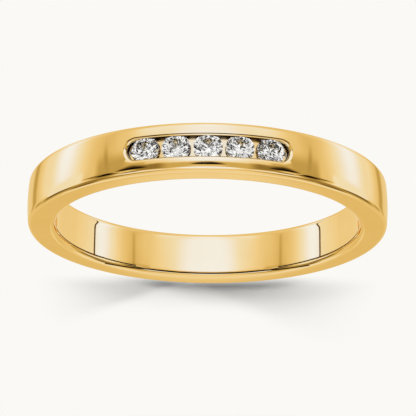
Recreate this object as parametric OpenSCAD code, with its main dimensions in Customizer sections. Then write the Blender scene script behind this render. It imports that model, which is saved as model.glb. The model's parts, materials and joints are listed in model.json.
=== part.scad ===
// Channel set band: a gold ring with a row of round stones held between two walls.
// The ring lies on its side, with the finger's axis along Z and the stones at the front, -Y.
// Lengths are in millimetres and angles in degrees.

/* [Band] */
// Inside diameter of the ring, which is its finger size
finger_d = 17.3; // [14:0.1:22]
// Thickness of the band from the finger to the middle of the outer face
wall = 1.62; // [1.4:0.02:2.2]
// Width of the band along the finger
band_w = 2.78; // [2.6:0.02:4]
// How far the outer face has fallen where its edges begin to round off
edge_fall = 0.05; // [0.02:0.01:0.1]
// Radius that softens the outer edges
outer_edge_r = 0.34; // [0.1:0.02:0.4]
// Radius that eases the inner edges against the finger
inner_edge_r = 0.34; // [0.1:0.02:0.5]

/* [Channel] */
// Width between the two walls that hold the stones
channel_w = 1.1; // [0.9:0.02:1.2]
// Depth from the outer face to the webs between the stones
channel_depth = 0.44; // [0.36:0.02:0.6]
// Width of the bevel that breaks the lip of the channel
lip = 0.14; // [0.04:0.02:0.2]
// Length of channel past the girdle of each end stone
end_run = 0.22; // [0.1:0.02:1.2]

/* [Stones] */
// Diameter of a stone at its girdle
stone_d = 1.56; // [1.3:0.02:1.6]
// Gap between the girdles of two neighbours
stone_gap = 0.14; // [0.12:0.02:0.5]
// Depth of the table below the middle of the outer face
table_sink = 0.04; // [0:0.02:0.1]
// Width of the table as a share of the diameter
table_share = 0.57; // [0.53:0.01:0.62]
// Slope of the main facets above the girdle
crown_angle = 34.5; // [32:0.5:36]
// Slope of the main facets below the girdle
pavilion_angle = 40.75; // [40:0.25:42]
// Height of the girdle
girdle_h = 0.045; // [0.02:0.005:0.08]
// Turn of each stone about its own axis past the one before it
stone_turn = 17; // [0:1:45]
// Clearance between a stone and its bearing
seat_clear = 0.02; // [0.01:0.005:0.04]

/* [Hidden] */
$fn = 180;

// Radii of the ring, and the height of its middle above the rim it lies on
finger_r = finger_d / 2;
outer_r = finger_r + wall;
mid_z = band_w / 2;
past = 1;

// Hair's breadth by which rounded cuts cross the faces that they blend into
hair = 0.0005;

// The crown is one arc across the width, and each outer edge is an arc that meets it smoothly
edge_z = mid_z - outer_edge_r;
edge_x = outer_r - outer_edge_r - edge_fall;
crown_r = (pow(outer_edge_r + edge_fall, 2) + pow(edge_z, 2) - pow(outer_edge_r, 2)) / (2 * edge_fall);
edge_lean = asin(edge_z / (crown_r - outer_edge_r));

// Stones in the row, one node each
stone_count = 5;

// Facets of a round brilliant, around its axis
girdle_sides = 16;
facet_step = 360 / girdle_sides;
star_share = 0.5;
lower_share = 0.77;
girdle_r = stone_d / 2;
table_r = table_share * girdle_r;
crown_h = (girdle_r - table_r) * tan(crown_angle);
pavilion_h = girdle_r * tan(pavilion_angle);
table_edge_r = table_r * cos(facet_step);
star_r = table_edge_r + star_share * (girdle_r - table_edge_r);
star_z = crown_h * (girdle_r - star_r * cos(facet_step)) / (girdle_r - table_r);
lower_r = (1 - lower_share) * girdle_r;
lower_z = pavilion_h * (1 - lower_r * cos(facet_step) / girdle_r);

// Slopes of the small facets beside the girdle, which are the steepest above it and below it
upper_angle = atan(star_z / (girdle_r - star_r));
lower_angle = atan(lower_z / (girdle_r - lower_r));

// Places of the stones, measured round the ring at the middle of their girdles
girdle_at = outer_r - table_sink - crown_h - girdle_h / 2;
stone_pitch = (stone_d + stone_gap) / girdle_at * 180 / PI;
row_half = stone_pitch * (stone_count - 1) / 2;
first_angle = -90 - row_half;

// Ends of the channel, each a round pocket a little wider and deeper than the straight run
channel_r = channel_w / 2;
floor_r = outer_r - channel_depth;
end_r = 1.02 * channel_r;
end_dip = 0.02;
end_step = 15;
end_shift = (girdle_r + end_run - end_r) / girdle_at * 180 / PI;
end_angle = row_half + end_shift;

// Points at one radius and height round the axis of a stone
function round_points(r, z, from, step) =
    [for (a = [from : step : from + 359]) [r * cos(a), r * sin(a), z]];

// What is taken off a corner to round it: a wedge over the corner, less the rounding circle
module corner_cut(centre, r, from, to) {
    reach = r + past;
    middle = (from + to) / 2;
    translate(centre)
        difference() {
            polygon([
                [0, 0],
                [reach * cos(from), reach * sin(from)],
                [2 * reach * cos(middle), 2 * reach * sin(middle)],
                [reach * cos(to), reach * sin(to)]
            ]);
            circle(r = r + hair);
        }
}

// Section of the band on one side of the finger's axis
module band_section() {
    difference() {
        intersection() {
            translate([finger_r, 0])
                square([wall + past, band_w]);
            translate([outer_r - crown_r, mid_z])
                circle(r = crown_r);
        }
        corner_cut([edge_x, outer_edge_r], outer_edge_r, -90, -edge_lean);
        corner_cut([edge_x, band_w - outer_edge_r], outer_edge_r, edge_lean, 90);
        corner_cut([finger_r + inner_edge_r, inner_edge_r], inner_edge_r, 180, 270);
        corner_cut([finger_r + inner_edge_r, band_w - inner_edge_r], inner_edge_r, 90, 180);
    }
}

// Places its children at an angle round the ring, with their Z axis pointing outwards
module around(angle, radius) {
    rotate([0, 0, angle])
        translate([radius, 0, mid_z])
            rotate([0, 90, 0])
                children();
}

// Outline of the round pocket at an end of the channel, in short flats
module end_outline() {
    polygon([for (a = [0 : end_step : 360 - end_step]) [end_r * cos(a), end_r * sin(a)]]);
}

// The channel: straight walls, a round pocket at each end, and the bevel that breaks its lip
module channel_void() {
    low_r = outer_r - lip;
    rise = lip + past;
    rotate([0, 0, -90 - end_angle])
        rotate_extrude(angle = 2 * end_angle)
            translate([0, mid_z])
                polygon([
                    [floor_r, -channel_r],
                    [low_r, -channel_r],
                    [low_r + rise, -channel_r - rise],
                    [low_r + rise, channel_r + rise],
                    [low_r, channel_r],
                    [floor_r, channel_r]
                ]);
    for (side = [-1, 1])
        around(-90 + side * end_angle, floor_r - end_dip) {
            linear_extrude(channel_depth + past)
                end_outline();
            translate([0, 0, low_r - floor_r + end_dip])
                linear_extrude(rise, scale = (end_r + rise) / end_r)
                    end_outline();
        }
}

// The bearing of one stone: cones along its small facets, with the clearance round them
module seat_void() {
    side_r = girdle_r + seat_clear;
    bottom_z = -girdle_h / 2 - seat_clear / cos(lower_angle) + seat_clear * tan(lower_angle);
    foot_z = bottom_z - side_r * tan(lower_angle);
    top_z = girdle_h / 2 + seat_clear / cos(upper_angle) - seat_clear * tan(upper_angle);
    head_z = girdle_h / 2 + crown_h + seat_clear;
    head_r = side_r - (head_z - top_z) / tan(upper_angle);
    rotate_extrude()
        polygon([[0, foot_z], [side_r, bottom_z], [side_r, top_z], [head_r, head_z], [0, head_z]]);
}

// One round brilliant, with the middle of its girdle at the origin and its table up
module brilliant() {
    n = girdle_sides;
    points = concat(
        round_points(table_r, girdle_h / 2 + crown_h, 0, 2 * facet_step),
        round_points(star_r, girdle_h / 2 + star_z, facet_step, 2 * facet_step),
        round_points(girdle_r, girdle_h / 2, 0, facet_step),
        round_points(girdle_r, -girdle_h / 2, 0, facet_step),
        round_points(lower_r, -girdle_h / 2 - lower_z, facet_step, 2 * facet_step),
        [[0, 0, -girdle_h / 2 - pavilion_h]]
    );
    half = n / 2;
    star = half;
    upper = star + half;
    under = upper + n;
    lower = under + n;
    culet = lower + half;
    faces = concat(
        [[for (k = [half - 1 : -1 : 0]) k]],
        [for (k = [0 : half - 1]) [k, (k + 1) % half, star + k]],
        [for (k = [0 : half - 1]) [k, star + k, upper + 2 * k, star + (k + half - 1) % half]],
        [for (k = [0 : half - 1]) [star + k, upper + 2 * k + 1, upper + 2 * k]],
        [for (k = [0 : half - 1]) [star + k, upper + (2 * k + 2) % n, upper + 2 * k + 1]],
        [for (k = [0 : n - 1]) [upper + k, upper + (k + 1) % n, under + (k + 1) % n, under + k]],
        [for (k = [0 : half - 1]) [under + 2 * k, under + 2 * k + 1, lower + k]],
        [for (k = [0 : half - 1]) [under + 2 * k + 1, under + (2 * k + 2) % n, lower + k]],
        [for (k = [0 : half - 1]) [under + 2 * k, lower + k, culet, lower + (k + half - 1) % half]]
    );
    polyhedron(points = points, faces = faces, convexity = 2);
}

// The cast gold band, with its channel and the bearings cut in it
module band() {
    color("gold")
        difference() {
            rotate_extrude()
                band_section();
            channel_void();
            for (k = [0 : stone_count - 1])
                around(first_angle + k * stone_pitch, girdle_at)
                    seat_void();
        }
}

// One stone of the row, counted from 0 at its -X end
module stone(k) {
    color("aliceblue")
        around(first_angle + k * stone_pitch, girdle_at)
            rotate([0, 0, k * stone_turn])
                brilliant();
}

band();
stone(0);  // stone_1
stone(1);  // stone_2
stone(2);  // stone_3
stone(3);  // stone_4
stone(4);  // stone_5
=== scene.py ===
"""Looks of a gold channel set ring with five round stones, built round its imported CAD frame."""

import json
import math

import bmesh
import bpy
from mathutils import Matrix, Vector


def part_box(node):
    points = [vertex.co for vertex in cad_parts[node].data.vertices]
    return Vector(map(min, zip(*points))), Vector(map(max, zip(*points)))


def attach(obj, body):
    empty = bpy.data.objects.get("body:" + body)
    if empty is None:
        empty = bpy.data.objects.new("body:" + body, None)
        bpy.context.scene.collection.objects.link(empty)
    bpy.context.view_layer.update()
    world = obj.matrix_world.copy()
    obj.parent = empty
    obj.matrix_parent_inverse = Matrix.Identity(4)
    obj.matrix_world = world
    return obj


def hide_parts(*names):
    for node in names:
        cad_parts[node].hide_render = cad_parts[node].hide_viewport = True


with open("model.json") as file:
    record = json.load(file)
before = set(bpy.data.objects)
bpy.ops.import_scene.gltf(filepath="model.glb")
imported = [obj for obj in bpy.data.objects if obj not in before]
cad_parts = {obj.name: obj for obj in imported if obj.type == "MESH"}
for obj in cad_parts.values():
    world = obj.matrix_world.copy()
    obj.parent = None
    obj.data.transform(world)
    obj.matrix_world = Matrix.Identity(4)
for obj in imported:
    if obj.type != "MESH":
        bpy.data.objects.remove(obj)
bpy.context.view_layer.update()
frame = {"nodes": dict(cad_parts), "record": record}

# Band
# One solid of cast yellow gold, filed and then polished to a mirror. Its lips are rounded over
# the channel, and a tapered bearing is cut for each stone. It is drawn here as a flat strip in
# millimetres, bent into the ring, and carried round the back of the finger in one turn.
MM = 0.001
band_low, band_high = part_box("band")
bore_mount = next(m for m in frame["record"]["mounts"] if m["name"] == "finger_bore")
finger_r = bore_mount["dims"]["r_mm"]
wall = 1.62
outer_r = finger_r + wall
band_w = (band_high.z - band_low.z) / MM
half_w = band_w / 2

# Its edges: how far the crown has fallen where they round off, and the radii of the roundings
edge_fall = 0.05
outer_edge_r = 0.34
inner_edge_r = 0.34
crown_z = half_w - outer_edge_r
crown_r = ((outer_edge_r + edge_fall) ** 2 + crown_z**2 - outer_edge_r**2) / (2 * edge_fall)

# Its channel: half the width, the depth to the webs, and the rounding of the lips and the floor
channel_r = 0.55
channel_depth = 0.44
lip_r = 0.16
floor_r = 0.04
mouth_r = channel_r + lip_r

# The stones that it holds, and the places that they take round the ring, in radians
stone_count = 5
stone_r = 0.78
stone_gap = 0.14
end_run = 0.22
table_share = 0.57
crown_angle = math.radians(34.5)
crown_h = stone_r * (1 - table_share) * math.tan(crown_angle)
girdle_h = 0.045
table_sink = 0.04
girdle_at = outer_r - table_sink - crown_h - girdle_h / 2
row_half = (stone_count - 1) / 2
stone_pitch = (2 * stone_r + stone_gap) / girdle_at
stone_angles = [stone_pitch * (k - row_half) for k in range(stone_count)]
end_x = (row_half * stone_pitch + (stone_r + end_run - channel_r) / girdle_at) * outer_r

# Faces along each stretch of the strip: the channel's end and its run, the outer face beside it,
# a rounding, the rim, the floor's rounding, and half of a flat
arc_steps = 16
run_steps = 88
land_steps = 6
round_steps = 12
rim_steps = 3
floor_round_steps = 4
flat_steps = 6

# The strip goes on past the channel's end, where this step of the arc leads to its corner
tail = 1.5
corner_step = 7

# Places that are nearer than this are one place, and a corner this near a loop lies on it
tiny = 1e-4
loop_reach = 1e-3
least_offset = 1e-5


def select(mesh, want, kind="VERT"):
    """Selects, in edit mode, only the corners or edges whose place and ends pass the test."""
    bpy.ops.mesh.select_mode(type=kind)
    bpy.ops.mesh.select_all(action="DESELECT")
    bm = bmesh.from_edit_mesh(mesh)
    for v in bm.verts if kind == "VERT" else bm.edges:
        at = v.co if kind == "VERT" else (v.verts[0].co + v.verts[1].co) / 2
        ends = [v.co, v.co] if kind == "VERT" else [w.co for w in v.verts]
        v.select_set(want(at, *ends))
    bm.select_flush_mode()
    bmesh.update_edit_mesh(mesh)


def move_selected(mesh, new_place):
    """Moves, in edit mode, each selected corner to where new_place() puts it."""
    bm = bmesh.from_edit_mesh(mesh)
    for v in bm.verts:
        if v.select:
            v.co = new_place(v.co)
    bmesh.update_edit_mesh(mesh)


def from_middle(p, offset, depth):
    """The same point of a loop round the channel, at another offset from the middle line."""
    foot = Vector((min(max(p.x, 0), end_x), 0, 0))
    away = Vector((p.x, 0, p.z)) - foot
    return foot + away.normalized() * offset + Vector((0, depth, 0))


def crown_depth(z):
    """How far the outer face has fallen at a distance z from the middle of the band."""
    return crown_r - math.sqrt(crown_r**2 - z**2)


def to_border(p):
    """Where a corner of the channel's mouth goes on the square border of the outer face."""
    if p.x < end_x + tiny:
        return Vector((p.x, 0, crown_z))
    step = round(math.degrees(math.atan2(p.z, p.x - end_x)) / 90 * arc_steps)
    if step <= corner_step:
        return Vector((end_x + tail, 0, crown_z * step / corner_step))
    share = (arc_steps - step) / (arc_steps - corner_step)
    return Vector((end_x + tail * share, 0, crown_z))


bpy.ops.object.select_all(action="DESELECT")
bpy.ops.mesh.primitive_circle_add(
    vertices=4 * arc_steps, radius=mouth_r, location=(end_x, 0, 0), rotation=(math.pi / 2, 0, 0)
)
band = bpy.context.object
band.name = "channel_band"
bpy.ops.object.transform_apply(location=True, rotation=True, scale=True)
bpy.ops.object.mode_set(mode="EDIT")
strip = band.data
select(strip, lambda p, a, b: p.x < end_x - tiny or p.z < -tiny)
bpy.ops.mesh.delete(type="VERT")
select(strip, lambda p, a, b: p.x < end_x + tiny)
bpy.ops.mesh.extrude_vertices_move(TRANSFORM_OT_translate={"value": (-end_x, 0, 0)})
select(strip, lambda p, a, b: p.x < end_x - loop_reach, "EDGE")
bpy.ops.mesh.subdivide(number_cuts=run_steps - 1)

# The outer face, from the mouth of the channel to the border where the edges round off
select(strip, lambda p, a, b: True)
bpy.ops.mesh.extrude_edges_move()
move_selected(strip, to_border)


def is_radial(p, a, b):
    """An edge that leads from the channel's mouth to the border."""
    at_mouth = [abs((q - from_middle(q, mouth_r, 0)).length) < loop_reach for q in (a, b)]
    return at_mouth[0] != at_mouth[1]


select(strip, is_radial, "EDGE")
bpy.ops.mesh.subdivide(number_cuts=land_steps - 1)
select(strip, lambda p, a, b: True)
move_selected(strip, lambda p: Vector((p.x, crown_depth(p.z), p.z)))


def at_offset(offset):
    """A test for the loop of corners at this offset from the channel's middle line."""
    def test(p, a, b):
        from_line = (Vector((p.x, 0, p.z)) - from_middle(p, 0, 0)).length
        return abs(from_line - offset) < loop_reach
    return test


# The lip, the wall and the floor of the channel, loop by loop towards its middle line
profile = []
lip_top = crown_depth(mouth_r)
for step in range(1, round_steps + 1):
    turn = math.pi / 2 * step / round_steps
    profile.append((mouth_r - lip_r * math.sin(turn), lip_top + lip_r * (1 - math.cos(turn))))
profile.append((channel_r, channel_depth - floor_r))
for step in range(1, floor_round_steps + 1):
    turn = math.pi / 2 * step / floor_round_steps
    lowered = channel_depth - floor_r * (1 - math.sin(turn))
    profile.append((channel_r - floor_r * (1 - math.cos(turn)), lowered))
for step in range(1, flat_steps + 1):
    profile.append(((channel_r - floor_r) * (1 - step / flat_steps), channel_depth))
select(strip, at_offset(mouth_r))
for offset, depth in profile:
    bpy.ops.mesh.extrude_edges_move()
    move_selected(strip, lambda p: from_middle(p, max(offset, least_offset), depth))

# The rounded edge, the rim, the eased inner edge and half of the finger's side
lean = math.asin(crown_z / (crown_r - outer_edge_r))
round_x = edge_fall + outer_edge_r
section = []
for step in range(1, round_steps + 1):
    turn = lean + (math.pi / 2 - lean) * step / round_steps
    section.append((crown_z + outer_edge_r * math.sin(turn), round_x - outer_edge_r * math.cos(turn)))
for step in range(1, rim_steps + 1):
    section.append((half_w, round_x + (wall - inner_edge_r - round_x) * step / rim_steps))
for step in range(1, round_steps + 1):
    turn = math.pi / 2 * step / round_steps
    inner_z = half_w - inner_edge_r * (1 - math.cos(turn))
    section.append((inner_z, wall - inner_edge_r * (1 - math.sin(turn))))
for step in range(1, flat_steps + 1):
    section.append(((half_w - inner_edge_r) * (1 - step / flat_steps), wall))
select(strip, lambda p, a, b: abs(p.z - crown_z) < tiny)
for z, depth in section:
    bpy.ops.mesh.extrude_edges_move()
    move_selected(strip, lambda p: Vector((p.x, depth, z)))
bpy.ops.object.mode_set(mode="OBJECT")


def apply_modifier(piece, kind, **settings):
    """Adds one modifier to the piece and applies it."""
    bpy.context.view_layer.objects.active = piece
    modifier = piece.modifiers.new(kind.lower(), kind)
    for name, value in settings.items():
        setattr(modifier, name, value)
    bpy.ops.object.modifier_apply(modifier=modifier.name)


# The quarter is mirrored along and across the strip, and the strip is bent to the ring's curve
strip_angle = 2 * (end_x + tail) / outer_r
apply_modifier(band, "MIRROR", use_axis=(True, False, True), merge_threshold=tiny)
apply_modifier(band, "SIMPLE_DEFORM", deform_method="BEND", deform_axis="Z", angle=strip_angle)
for corner in strip.vertices:
    corner.co.y -= outer_r

# Its end is carried round the finger to meet its other end
bpy.ops.object.mode_set(mode="EDIT")
end_angle = strip_angle / 2
turn_steps = 600


def at_end(p, a, b):
    """An edge of the strip's end, on the side that is carried round."""
    return all(abs(math.atan2(q.x, -q.y) - end_angle) < tiny for q in (a, b))


select(strip, at_end, "EDGE")
bpy.ops.mesh.duplicate()
bpy.ops.mesh.separate(type="SELECTED")
bpy.ops.object.mode_set(mode="OBJECT")
back = next(o for o in bpy.context.selected_objects if o is not band)
apply_modifier(
    back, "SCREW", axis="Z", steps=turn_steps, render_steps=turn_steps,
    angle=2 * math.pi - strip_angle, use_smooth_shade=True,
)
bpy.ops.object.select_all(action="DESELECT")
back.select_set(True)
band.select_set(True)
bpy.context.view_layer.objects.active = band
bpy.ops.object.join()
bpy.ops.object.mode_set(mode="EDIT")
bpy.ops.mesh.select_all(action="SELECT")
bpy.ops.mesh.remove_doubles(threshold=tiny)
bpy.ops.mesh.normals_make_consistent(inside=False)
bpy.ops.object.mode_set(mode="OBJECT")

# The cutter of a bearing, clear of the stone all round: a cone along the underside of the stone,
# a short wall round its girdle, and a cone over it
cutter_sides = 96
seat_clear = 0.02
upper_angle = math.radians(40.6)
lower_angle = math.radians(41.4)
side_r = stone_r + seat_clear
bottom_z = -girdle_h / 2 - seat_clear / math.cos(lower_angle) + seat_clear * math.tan(lower_angle)
foot_z = bottom_z - side_r * math.tan(lower_angle)
top_z = girdle_h / 2 + seat_clear / math.cos(upper_angle) - seat_clear * math.tan(upper_angle)
head_z = girdle_h / 2 + crown_h + seat_clear
head_r = side_r - (head_z - top_z) / math.tan(upper_angle)
faces_up = 0.9
bpy.ops.object.select_all(action="DESELECT")
bpy.ops.mesh.primitive_cone_add(
    vertices=cutter_sides, radius1=0, radius2=side_r, depth=bottom_z - foot_z,
    location=(0, 0, (bottom_z + foot_z) / 2),
)
cutter = bpy.context.object
bpy.ops.object.transform_apply(location=True, rotation=True, scale=True)
bpy.ops.object.mode_set(mode="EDIT")
bpy.ops.mesh.select_all(action="SELECT")
bpy.ops.mesh.remove_doubles(threshold=tiny)
bpy.ops.mesh.select_mode(type="FACE")
bpy.ops.mesh.select_all(action="DESELECT")
cutter_mesh = bmesh.from_edit_mesh(cutter.data)
for face in cutter_mesh.faces:
    face.select_set(face.normal.z > faces_up)
bmesh.update_edit_mesh(cutter.data)
bpy.ops.mesh.extrude_region_move(TRANSFORM_OT_translate={"value": (0, 0, top_z - bottom_z)})
bpy.ops.mesh.extrude_region_move(TRANSFORM_OT_translate={"value": (0, 0, head_z - top_z)})
bpy.ops.transform.resize(value=(head_r / side_r, head_r / side_r, 1))
bpy.ops.object.mode_set(mode="OBJECT")
bearings = []
for stone_angle in stone_angles:
    bpy.ops.object.select_all(action="DESELECT")
    bearing = cutter.copy()
    bearing.data = cutter.data.copy()
    bpy.context.collection.objects.link(bearing)
    stand = Matrix.Rotation(stone_angle - math.pi / 2, 4, "Z") @ Matrix.Translation((girdle_at, 0, 0))
    bearing.data.transform(stand @ Matrix.Rotation(math.pi / 2, 4, "Y"))
    bearings.append(bearing)
for bearing in bearings:
    apply_modifier(band, "BOOLEAN", operation="DIFFERENCE", object=bearing, solver="EXACT")
    bpy.data.objects.remove(bearing)
bpy.data.objects.remove(cutter)

# Its place in the frame, and shading that follows the faces
smooth_below = math.radians(32)
strip.transform(Matrix.Translation((0, 0, half_w * MM)) @ Matrix.Scale(MM, 4))
bpy.ops.object.select_all(action="DESELECT")
band.select_set(True)
bpy.context.view_layer.objects.active = band
bpy.ops.object.shade_smooth_by_angle(angle=smooth_below)
apply_modifier(band, "WEIGHTED_NORMAL", mode="FACE_AREA", weight=50, keep_sharp=True)
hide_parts("band")
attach(band, "root")


def new_material(name):
    """Makes a material with nodes, and returns it with its tree and its main shader."""
    material = bpy.data.materials.new(name)
    material.use_nodes = True
    tree = material.node_tree
    return material, tree, tree.nodes["Principled BSDF"]


def add_node(tree, kind, settings=None, **sockets):
    """Adds a node, sets its properties, and links or fills its input sockets by name."""
    node = tree.nodes.new("ShaderNode" + kind)
    for name, value in (settings or {}).items():
        setattr(node, name, value)
    for name, value in sockets.items():
        socket = node.inputs[int(name[1:])] if name[0] == "i" else node.inputs[name]
        if isinstance(value, bpy.types.NodeSocket):
            tree.links.new(value, socket)
        else:
            socket.default_value = value
    return node


def add_math(tree, operation, *values):
    """Adds a Math node and returns its result."""
    sockets = {f"i{k}": value for k, value in enumerate(values)}
    return add_node(tree, "Math", {"operation": operation}, **sockets).outputs[0]


def add_noise(tree, where, scale, detail):
    """Adds a Noise node and returns its level."""
    return add_node(tree, "TexNoise", Vector=where, Scale=scale, Detail=detail).outputs[0]


def add_range(tree, value, low, high, to_low, to_high, smooth=False):
    """Adds a Map Range node and returns its result."""
    settings = {"interpolation_type": "SMOOTHSTEP"} if smooth else {}
    return add_node(tree, "MapRange", settings, i0=value, i1=low, i2=high, i3=to_low, i4=to_high).outputs[0]


def add_ramp(tree, value, stops):
    """Adds a colour ramp, whose stops are a level, red, green and blue, and returns its colour."""
    ramp = add_node(tree, "ValToRGB", Fac=value)
    elements = ramp.color_ramp.elements
    while len(elements) < len(stops):
        elements.new(0.5)
    for element, (level, *colour) in zip(elements, stops):
        element.position = level
    for element, (level, *colour) in zip(elements, stops):
        element.color = (*colour, 1)
    return ramp.outputs[0]


# Its polish: a mirror with the faint hairlines that a buffing wheel leaves along the band, and
# the slight change of colour and gloss that cast gold has from place to place
# level, red, green, blue
gold_colours = [
    (0.3, 0.92, 0.715, 0.375),
    (0.7, 0.94, 0.745, 0.405),
]
gold_at_grazing = (0.98, 0.92, 0.77, 1)
gold_roughness = (0.03, 0.055)
cloud_scale = 450.0
hairline_scale = 14.0
hairline_stretch = 0.4
hairline_depth = 0.000001
noise_span = (0.3, 0.7)
polished_gold, gold_tree, gold_shader = new_material("polished_gold")
gold_shader.inputs["Metallic"].default_value = 1
gold_shader.inputs["Specular Tint"].default_value = gold_at_grazing
gold_at = add_node(gold_tree, "TexCoord").outputs["Object"]
gold_xyz = add_node(gold_tree, "SeparateXYZ", Vector=gold_at).outputs
from_back = add_math(gold_tree, "ARCTAN2", gold_xyz["X"], gold_xyz["Y"])
from_axis = add_node(gold_tree, "VectorMath", {"operation": "LENGTH"}, i0=gold_at).outputs["Value"]
along = add_math(gold_tree, "MULTIPLY", from_back, hairline_stretch)
across = add_math(gold_tree, "DIVIDE", gold_xyz["Z"], MM)
inwards = add_math(gold_tree, "DIVIDE", from_axis, MM)
lay = add_node(gold_tree, "CombineXYZ", X=along, Y=across, Z=inwards).outputs[0]
hairlines = add_noise(gold_tree, lay, hairline_scale, 3.0)
tint = add_ramp(gold_tree, add_noise(gold_tree, gold_at, cloud_scale, 2.0), gold_colours)
gloss = add_range(gold_tree, hairlines, *noise_span, *gold_roughness)
gold_tree.links.new(gloss, gold_shader.inputs["Roughness"])
buffed = add_node(gold_tree, "Bump", Height=hairlines, Strength=0.02, Distance=hairline_depth)
gold_tree.links.new(buffed.outputs[0], gold_shader.inputs["Normal"])

# Two fine dark lines are painted on its eased upper inner edge, as painted reflections of the
# dark edges of studio cards: one round the sides and one round the back. The back one slants up
# the edge and grows thinner towards its ends. Lengths are in metres, and angles in radians from the back.
painted_reflection_colour = (0.02, 0.015, 0.01, 1)
line_reach = 0.0096
side_line_start = 0.52
side_line_z = 0.002450
side_line_half = 0.000034
back_line_end = 0.77
back_line_z = 0.002546
back_line_half = 0.000038
back_line_taper = 0.00006
slant_start = 0.42
slant = 0.0005
turned = add_math(gold_tree, "ABSOLUTE", from_back)
past_start = add_math(gold_tree, "MAXIMUM", add_math(gold_tree, "SUBTRACT", turned, slant_start), 0)
risen = add_math(gold_tree, "MULTIPLY", past_start, slant)
straight_z = add_math(gold_tree, "SUBTRACT", gold_xyz["Z"], risen)
half_here = add_math(gold_tree, "MULTIPLY_ADD", past_start, -back_line_taper, back_line_half)
near_back = add_math(gold_tree, "COMPARE", straight_z, back_line_z, half_here)
before_end = add_math(gold_tree, "LESS_THAN", turned, back_line_end)
on_back_line = add_math(gold_tree, "MULTIPLY", near_back, before_end)
near_side = add_math(gold_tree, "COMPARE", gold_xyz["Z"], side_line_z, side_line_half)
off_back = add_math(gold_tree, "GREATER_THAN", turned, side_line_start)
on_side_line = add_math(gold_tree, "MULTIPLY", near_side, off_back)
on_line = add_math(gold_tree, "MAXIMUM", on_back_line, on_side_line)
on_inside = add_math(gold_tree, "LESS_THAN", from_axis, line_reach)
painted_reflection_share = add_math(gold_tree, "MULTIPLY", on_line, on_inside)
# The two dark lines are painted reflections, mixed into the gold's colour
lined = add_node(gold_tree, "Mix", {"data_type": "RGBA"}, i0=painted_reflection_share, i6=tint, i7=painted_reflection_colour)
gold_tree.links.new(lined.outputs[2], gold_shader.inputs["Base Color"])

# Painted shade: the walls of the channel are darkened under their lips, and a fine line of
# painted shade runs along the top of the far lip, beside the stones
# level, red, green, blue
painted_shade_colours = [
    (0.4, 0.012, 0.008, 0.004),
    (0.75, 0.18, 0.12, 0.05),
]
shade_noise_scale = 900.0
painted_shade, recess_tree, recess_shader = new_material("painted_shade")
recess_shader.inputs["Metallic"].default_value = 1
recess_shader.inputs["Roughness"].default_value = 0.3
recess_at = add_node(recess_tree, "TexCoord").outputs["Object"]
shade_noise = add_noise(recess_tree, recess_at, shade_noise_scale, 3.0)
shade_tint = add_ramp(recess_tree, shade_noise, painted_shade_colours)
recess_tree.links.new(shade_tint, recess_shader.inputs["Base Color"])

# The bearings keep the grey satin that the cutting bur leaves
# level, red, green, blue
bearing_colours = [
    (0.35, 0.50, 0.47, 0.42),
    (0.7, 0.85, 0.82, 0.75),
]
chatter_scale = 4000.0
cut_bearing, bearing_tree, bearing_shader = new_material("cut_bearing")
bearing_shader.inputs["Metallic"].default_value = 1
bearing_shader.inputs["Roughness"].default_value = 0.35
bearing_at = add_node(bearing_tree, "TexCoord").outputs["Object"]
chatter = add_noise(bearing_tree, bearing_at, chatter_scale, 2.0)
burred = add_ramp(bearing_tree, chatter, bearing_colours)
bearing_tree.links.new(burred, bearing_shader.inputs["Base Color"])

# The webs between the stones are a deeper gold
web_colours = [(0.84, 0.62, 0.30, 1), (0.88, 0.67, 0.34, 1)]
web_gold = polished_gold.copy()
web_gold.name = "web_gold"
web_tint = next(node for node in web_gold.node_tree.nodes if node.type == "VALTORGB")
for element, colour in zip(web_tint.color_ramp.elements, web_colours):
    element.color = colour

# Each face takes the finish, or the painted shade, of its place: how far it lies from the
# channel's middle line, how deep below the outer face, and which way it faces. The painted shade
# starts under the lip along the run of the far wall, and deeper at the ends and along the near wall.
shade_stripe_w = 0.05
lip_under = 0.06
end_under = 0.26
end_light = 0.35
margin = 0.02
floor_margin = 0.05
wall_facing = 0.75
web_facing = 0.9
finishes_and_shade = [polished_gold, painted_shade, cut_bearing, web_gold]
strip.materials.clear()
for finish in finishes_and_shade:
    strip.materials.append(finish)
for face in strip.polygons:
    spot = face.center / MM - Vector((0, 0, half_w))
    outwards = Vector((spot.x, spot.y, 0)).normalized()
    facing = face.normal.dot(outwards)
    spread = Vector((math.atan2(spot.x, -spot.y) * outer_r, 0, spot.z))
    from_line = (spread - Vector((max(min(spread.x, end_x), -end_x), 0, 0))).length
    depth = outer_r - math.hypot(spot.x, spot.y)
    is_run = abs(spread.x) < end_x - end_light
    under = lip_under if spread.z < 0 and is_run else end_under
    in_wall_shade = from_line < mouth_r and depth > under and facing < wall_facing
    in_shade_stripe = mouth_r - shade_stripe_w < from_line < mouth_r and spread.z < -channel_r and depth < lip_r
    # Painted shade on the channel walls under their lips, and the painted dark line along the far lip
    if (in_wall_shade or in_shade_stripe) and depth < channel_depth + floor_margin and abs(spread.x) < end_x + mouth_r:
        face.material_index = finishes_and_shade.index(painted_shade)
    if from_line < mouth_r and channel_depth + margin < depth < wall - margin:
        face.material_index = finishes_and_shade.index(cut_bearing)
    if from_line < channel_r and abs(depth - channel_depth) < margin and facing > web_facing and is_run:
        face.material_index = finishes_and_shade.index(web_gold)

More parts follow.
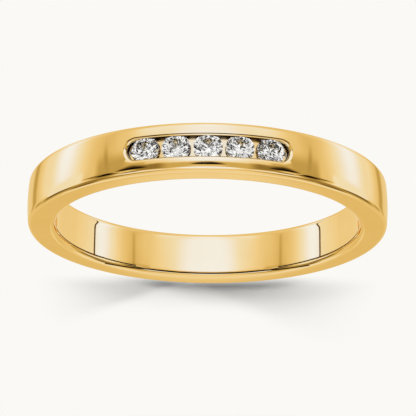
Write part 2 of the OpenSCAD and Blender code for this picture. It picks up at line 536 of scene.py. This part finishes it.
# Stones
# Five round brilliants of colourless diamond. Each sits on its bearings, under the edges of the
# two walls, with its table just below the face of the band. They are the frame's own solids.
# level, red, green, blue
clarity_colours = [
    (0.35, 0.93, 0.93, 0.95),
    (0.55, 1, 1, 1),
]
clouding_scale = 1500.0
facet_roughness = (0.0, 0.02)
diamond, diamond_tree, diamond_shader = new_material("diamond")
stone_at = add_node(diamond_tree, "TexCoord").outputs["Object"]
clouding = add_noise(diamond_tree, stone_at, clouding_scale, 4.0)
clarity = add_ramp(diamond_tree, clouding, clarity_colours)
facet_polish = add_range(diamond_tree, clouding, *noise_span, *facet_roughness)
diamond_tree.links.new(clarity, diamond_shader.inputs["Base Color"])
diamond_tree.links.new(facet_polish, diamond_shader.inputs["Roughness"])
diamond_shader.inputs["IOR"].default_value = 2.417
diamond_shader.inputs["Transmission Weight"].default_value = 1
stones = [node for name, node in frame["nodes"].items() if name.startswith("stone")]
for stone in stones:
    for slot in stone.material_slots:
        slot.material = diamond

# Camera
# A long lens, 120 mm from the ring and at the photo's angle to it, 19.1 degrees off its plane. It
# is turned over, so that the row of stones, which faces it, stands at the top of the picture.
camera_far = 120.0
camera_rise = math.radians(19.1)
camera_roll = math.radians(0.5504)
lens = 181.44
aim_right = 0.0246
aim_up = 0.0527
back_dir = Vector((0, -math.cos(camera_rise), math.sin(camera_rise)))
level_right = Vector((-1, 0, 0))
level_up = Vector((0, -math.sin(camera_rise), -math.cos(camera_rise)))
right = level_right * math.cos(camera_roll) + level_up * math.sin(camera_roll)
up = level_up * math.cos(camera_roll) - level_right * math.sin(camera_roll)
ring_middle = Vector((0, 0, half_w))
camera_at = ring_middle + back_dir * camera_far + right * aim_right + up * aim_up
camera_data = bpy.data.cameras.new("camera")
camera_data.lens = lens
camera_data.sensor_width = 36
camera_data.clip_start = 0.01
camera_data.clip_end = 2
camera = bpy.data.objects.new("camera", camera_data)
bpy.context.scene.collection.objects.link(camera)
camera_turn = Matrix((right, up, back_dir)).transposed().to_4x4()
camera.matrix_world = Matrix.Translation(camera_at * MM) @ camera_turn
bpy.context.scene.camera = camera

# Floor
# A pale seamless sheet that glows evenly, but for a patch behind the ring, where low soft lamps
# from the front of the ring light it and cast its shadow. Its lengths are in metres.
studio_white = (0.956, 0.947, 0.913)
floor_w = 4
shade_half_full = 0.004
shade_half_none = 0.012
shade_start = 0.017
shade_full = 0.020


def bare_material(name):
    """Makes a material with an empty tree, and returns it with the tree."""
    material = bpy.data.materials.new(name)
    material.use_nodes = True
    material.node_tree.nodes.clear()
    return material, material.node_tree


bpy.ops.object.select_all(action="DESELECT")
bpy.ops.mesh.primitive_plane_add(size=floor_w)
floor = bpy.context.object
floor.name = "floor"
paper, paper_tree = bare_material("pale_paper")
paper_at = add_node(paper_tree, "TexCoord").outputs["Object"]
paper_xyz = add_node(paper_tree, "SeparateXYZ", Vector=paper_at).outputs
from_centre = add_math(paper_tree, "ABSOLUTE", paper_xyz["X"])
beside = add_range(paper_tree, from_centre, shade_half_full, shade_half_none, 1, 0, smooth=True)
behind = add_range(paper_tree, paper_xyz["Y"], shade_start, shade_full, 0, 1, smooth=True)
shaded = add_math(paper_tree, "MULTIPLY", beside, behind)
lit = add_node(paper_tree, "BsdfDiffuse", Color=(*studio_white, 1)).outputs[0]
glow = add_node(paper_tree, "Emission", Color=(*studio_white, 1)).outputs[0]
shown = add_node(paper_tree, "MixShader", i0=shaded, i1=glow, i2=lit).outputs[0]
add_node(paper_tree, "OutputMaterial", Surface=shown)
floor.data.materials.append(paper)
floor.visible_glossy = False
floor.visible_transmission = False

# side, rise and angle in degrees, share of the light
low_lamps = [
    (1.5, 14.8, 2.6, 0.28),
    (-10.5, 11.5, 4.2, 0.16),
    (-38.5, 6.2, 4.0, 0.21),
    (19, 10.6, 4.0, 0.25),
    (31, 6, 4.0, 0.10),
]
for number, (side, rise, angle, share) in enumerate(low_lamps):
    lamp_data = bpy.data.lights.new(f"low_lamp_{number + 1}", "SUN")
    lamp_data.energy = share * math.pi / math.sin(math.radians(rise))
    lamp_data.angle = math.radians(angle)
    lamp = bpy.data.objects.new(f"low_lamp_{number + 1}", lamp_data)
    bpy.context.scene.collection.objects.link(lamp)
    lamp.rotation_euler = (math.radians(90 - rise), 0, math.radians(side))
    lamp.visible_camera = False
    lamp.visible_glossy = False
    lamp.visible_transmission = False

# Light tent
# The ring stands in a tent of white cards with dark gaps between them. The mirror of the gold
# shows it. Angles are in degrees: side is measured round from the camera, both ways alike, and
# rise is towards the top of the picture.
tent_r = 80.0
tent_strength = 2.2
# level, red, green, blue
tent_colours = [
    (0.00, 0.001, 0.001, 0.001),
    (0.20, 0.044, 0.026, 0.009),
    (0.35, 0.172, 0.119, 0.037),
    (0.50, 0.298, 0.228, 0.093),
    (0.62, 0.387, 0.313, 0.171),
    (0.74, 0.430, 0.384, 0.292),
    (0.85, 0.434, 0.446, 0.481),
    (0.93, 0.442, 0.493, 0.712),
    (1.00, 0.450, 0.543, 0.886),
]
tent_base = 0.64
# shape, level, side, rise, half its width, half its height, share that is solid each way, tilt
tent_cards = [
    ("round", 0.74, 90, 90, 400, 22, 0.2, 0.2, 0),
    ("round", 0.60, 166, -18, 24, 14, 0.6, 0, 0),
    ("round", 0.73, 180, -22, 10, 9, 0.2, 0, 0),
    ("round", 0.80, 165, -50, 46, 18, 0.6, 0, 0),
    ("card", 0.74, 0, -90, 400, 23, 0.9, 0.7, 0),
    ("round", 0.98, 0, 45, 66, 70, 0, 0, 0),
    ("round", 0.98, 0, 17, 36, 15, 0.3, 0, 0),
    ("round", 0.80, 100, 21, 30, 30, 0.55, 0, 0),
    ("round", 0.58, 63, 22, 10, 40, 0, 0, 0),
    ("round", 1.00, 96, 26, 18, 40, 0, 0, 0),
    ("round", 0.88, 33, 40, 20, 28, 0.3, 0, 0),
    ("round", 0.67, 146, 20, 20, 26, 0.3, 0, 0),
    ("round", 0.46, 135, 18, 7, 26, 0.2, 0, 0),
    ("round", 0.92, 128, 45, 24, 12, 0.3, 0, 0),
    ("card", 0.46, 58, 8, 12.5, 12.5, 0.6, 0.4, 0),
    ("card", 0.50, 0, -9, 48, 18.8, 0.7, 0.95, 0),
    ("round", 0.50, 43, 10, 9, 4, 0.5, 0, 0),
    ("card", 0.31, 34, -5, 13, 15.2, 0.3, 0.93, 0),
    ("round", 0.66, 4, -2, 10, 7, 0.3, 0, 0),
    ("round", 0.38, 65, -12, 11, 26, 0.5, 0, 0),
    ("round", 0.32, 80, -40, 26, 18, 0.5, 0, 0),
    ("card", 0.85, 95, -4, 18, 18.5, 0.8, 0.85, 0),
    ("round", 0.38, 109, -33, 30, 13, 0.5, 0, 30),
    ("round", 0.08, 107, -22, 21, 6.5, 0.4, 0, 30),
    ("round", 0.25, 112, -47, 26, 9, 0.4, 0, 0),
    ("round", 0.15, 57, -11, 6, 9, 0.5, 0, 0),
    ("round", 0.40, 125, -8, 9, 8, 0.3, 0, 30),
    ("round", 0.36, 68, -54, 46, 7.5, 0.5, 0, 0),
    ("round", 0.94, 46, -38, 30, 7, 0.4, 0, 0),
    ("round", 0.95, 0, -33, 28, 22, 0.55, 0, 0),
    ("round", 0.10, 48, -24, 9, 7, 0.4, 0, 0),
    ("round", 0.00, 62, -6, 7.5, 14, 0.5, 0, 10),
    ("round", 0.00, 45, 6, 11.5, 5, 0.5, 0, 0),
    ("round", 0.20, 71, 3, 9, 4, 0.3, 0, 0),
    ("round", 0.00, 0, 7.3, 12, 2.4, 0.5, 0, 0),
    ("round", 0.42, 61.8, 15, 2.5, 12, 0, 0, -14),
]


def light_look(name, level_maker, colours, strength):
    """A material of light, painted by a level and a ramp of colours."""
    look, tree = bare_material(name)
    object_at = add_node(tree, "TexCoord").outputs["Object"]
    middle = (0, 0, half_w * MM)
    centred = add_node(tree, "VectorMath", {"operation": "SUBTRACT"}, i0=object_at, i1=middle)
    way = add_node(tree, "VectorMath", {"operation": "NORMALIZE"}, i0=centred.outputs[0]).outputs[0]
    colour = add_ramp(tree, level_maker(tree, way), colours)
    light = add_node(tree, "Emission", Color=colour, Strength=strength).outputs[0]
    add_node(tree, "OutputMaterial", Surface=light)
    return look


def add_tent(name, radius, level_maker, colours, strength):
    """A dome of light round the ring's middle."""
    bpy.ops.object.select_all(action="DESELECT")
    bpy.ops.mesh.primitive_uv_sphere_add(segments=96, ring_count=48, radius=radius * MM)
    tent = bpy.context.object
    tent.name = name
    tent.data.transform(Matrix.Translation((0, 0, half_w * MM)))
    tent.data.materials.append(light_look(name, level_maker, colours, strength))
    tent.visible_camera = False
    tent.visible_diffuse = False
    tent.visible_shadow = False
    return tent


def fade(tree, distance, solid):
    """How far a card covers: fully up to its solid share, and softly down to nothing at 1."""
    return add_range(tree, distance, solid, 1, 1, 0, smooth=True)


def gold_level(tree, way):
    """The level of the gold's tent: one base, with each card laid over the ones before it."""
    way_xyz = add_node(tree, "SeparateXYZ", Vector=way).outputs
    sideways = add_math(tree, "ABSOLUTE", way_xyz["X"])
    frontways = add_math(tree, "MULTIPLY", way_xyz["Y"], -1)
    upways = add_math(tree, "MULTIPLY", way_xyz["Z"], -1)
    side = add_math(tree, "DEGREES", add_math(tree, "ARCTAN2", sideways, frontways))
    rise = add_math(tree, "DEGREES", add_math(tree, "ARCSINE", upways))
    seen_at = add_node(tree, "CombineXYZ", X=side, Y=rise).outputs[0]
    level = tent_base
    for shape, tone, card_side, card_rise, half_side, half_rise, solid, solid_rise, tilt in tent_cards:
        placed = add_node(tree, "Mapping", {"vector_type": "TEXTURE"}, Vector=seen_at)
        placed.inputs["Location"].default_value = (card_side, card_rise, 0)
        placed.inputs["Rotation"].default_value = (0, 0, math.radians(tilt))
        placed.inputs["Scale"].default_value = (half_side, half_rise, 1)
        if shape == "round":
            from_card = add_node(tree, "VectorMath", {"operation": "LENGTH"}, i0=placed.outputs[0])
            covered = fade(tree, from_card.outputs["Value"], solid)
        else:
            ways = add_node(tree, "SeparateXYZ", Vector=placed.outputs[0]).outputs
            over_side = fade(tree, add_math(tree, "ABSOLUTE", ways["X"]), solid)
            over_rise = fade(tree, add_math(tree, "ABSOLUTE", ways["Y"]), solid_rise)
            covered = add_math(tree, "MULTIPLY", over_side, over_rise)
        level = add_node(tree, "Mix", i0=covered, i2=level, i3=tone).outputs[0]
    return level


gold_tent = add_tent("gold_tent", tent_r, gold_level, tent_colours, tent_strength)
gold_tent.visible_transmission = False
tented_gold = bpy.data.collections.new("tented_gold")
tented_gold.objects.link(band)
gold_tent.light_linking.receiver_collection = tented_gold

# Two cards stand before each side of the wall in the finger hole. A gold one ends the bright field
# on the wall crisply with the dark line on its edge, and a side one goes on from it. Angles are in
# degrees from the back, and heights in millimetres above the rim that the ring lies on.
gold_card_r = 8.2
gold_card_start = 47.0
gold_card_end = 64.0
gold_card_low = -1.0
gold_card_high = 2.24
gold_card_rounding = 2.2
rounding_height = 0.5
edge_line_share = 0.045
edge_line_level = 0.22
edge_level = 0.82
far_level = 0.70
far_share = 0.7
side_card_r = 8.56
side_card_start = 62
side_card_end = 105
side_card_low = -0.6
side_card_high = 2.34
side_card_colour = (0.416, 0.360, 0.252, 1)


def add_hole_card(name, radius, from_angle, to_angle, low, high, look, rounding=0):
    """A part of a round wall in the finger hole; angles are from the back, towards +X."""
    bpy.ops.object.select_all(action="DESELECT")
    bpy.ops.mesh.primitive_grid_add(x_subdivisions=48, y_subdivisions=12, size=2)
    card = bpy.context.object
    card.name = name
    for corner in card.data.vertices:
        z = low + (high - low) * (corner.co.y + 1) / 2
        start = from_angle - rounding * max(0, 1 - max(z, 0) / rounding_height) ** 2
        angle = math.radians(start + (to_angle - start) * (corner.co.x + 1) / 2)
        corner.co = Vector((math.sin(angle) * radius, math.cos(angle) * radius, z)) * MM
    card.data.materials.append(look)
    card.visible_camera = False
    card.visible_diffuse = False
    card.visible_transmission = False
    card.visible_shadow = False
    card.light_linking.receiver_collection = tented_gold


def hole_level(tree, way):
    """The level of a gold card: a dark line at its edge, and fading away from it."""
    card_uv = add_node(tree, "TexCoord").outputs["UV"]
    along_card = add_node(tree, "SeparateXYZ", Vector=card_uv).outputs["X"]
    field = add_range(tree, along_card, 0, far_share, edge_level, far_level)
    is_edge = add_math(tree, "LESS_THAN", along_card, edge_line_share)
    return add_node(tree, "Mix", i0=is_edge, i2=field, i3=edge_line_level).outputs[0]


gold_card = light_look("gold_card", hole_level, tent_colours, tent_strength)
side_card, side_tree = bare_material("side_card")
side_light = add_node(side_tree, "Emission", Color=side_card_colour, Strength=tent_strength).outputs[0]
add_node(side_tree, "OutputMaterial", Surface=side_light)
for hand, way in (("right", 1), ("left", -1)):
    add_hole_card(
        "gold_card_" + hand, gold_card_r, way * gold_card_start, way * gold_card_end,
        gold_card_low, gold_card_high, gold_card, way * gold_card_rounding,
    )
    add_hole_card(
        "side_card_" + hand, side_card_r, way * side_card_start, way * side_card_end,
        side_card_low, side_card_high, side_card,
    )

# The stones have a tent of their own, of neutral cards that light only them
stone_tent_r = 60.0
patch_scale = 3.0
# level, red, green, blue
stone_colours = [
    (0.00, 0.06, 0.06, 0.06),
    (0.30, 0.10, 0.10, 0.10),
    (0.50, 0.48, 0.48, 0.47),
    (0.65, 0.95, 0.95, 0.93),
    (1.00, 1.50, 1.50, 1.47),
]


def stone_level(tree, way):
    """Bright and dark patches in the tent that the stones break up into their sparkle."""
    patches = add_node(tree, "TexVoronoi", {"feature": "F1"}, Vector=way, Scale=patch_scale)
    return add_node(tree, "SeparateColor", Color=patches.outputs["Color"]).outputs[0]


stone_tent = add_tent("stone_tent", stone_tent_r, stone_level, stone_colours, 1.0)
stone_tent.visible_glossy = False

# The paper's colour carries on behind the floor, and lights nothing
scene = bpy.context.scene
world = bpy.data.worlds.new("studio")
scene.world = world
world.use_nodes = True
backdrop = world.node_tree.nodes["Background"]
backdrop.inputs["Color"].default_value = (*studio_white, 1)
backdrop.inputs["Strength"].default_value = 1
world.cycles_visibility.diffuse = False
world.cycles_visibility.glossy = False
world.cycles_visibility.transmission = False
scene.view_settings.view_transform = "Standard"
scene.cycles.max_bounces = 32
scene.cycles.diffuse_bounces = 0
scene.cycles.glossy_bounces = 12
scene.cycles.transmission_bounces = 24
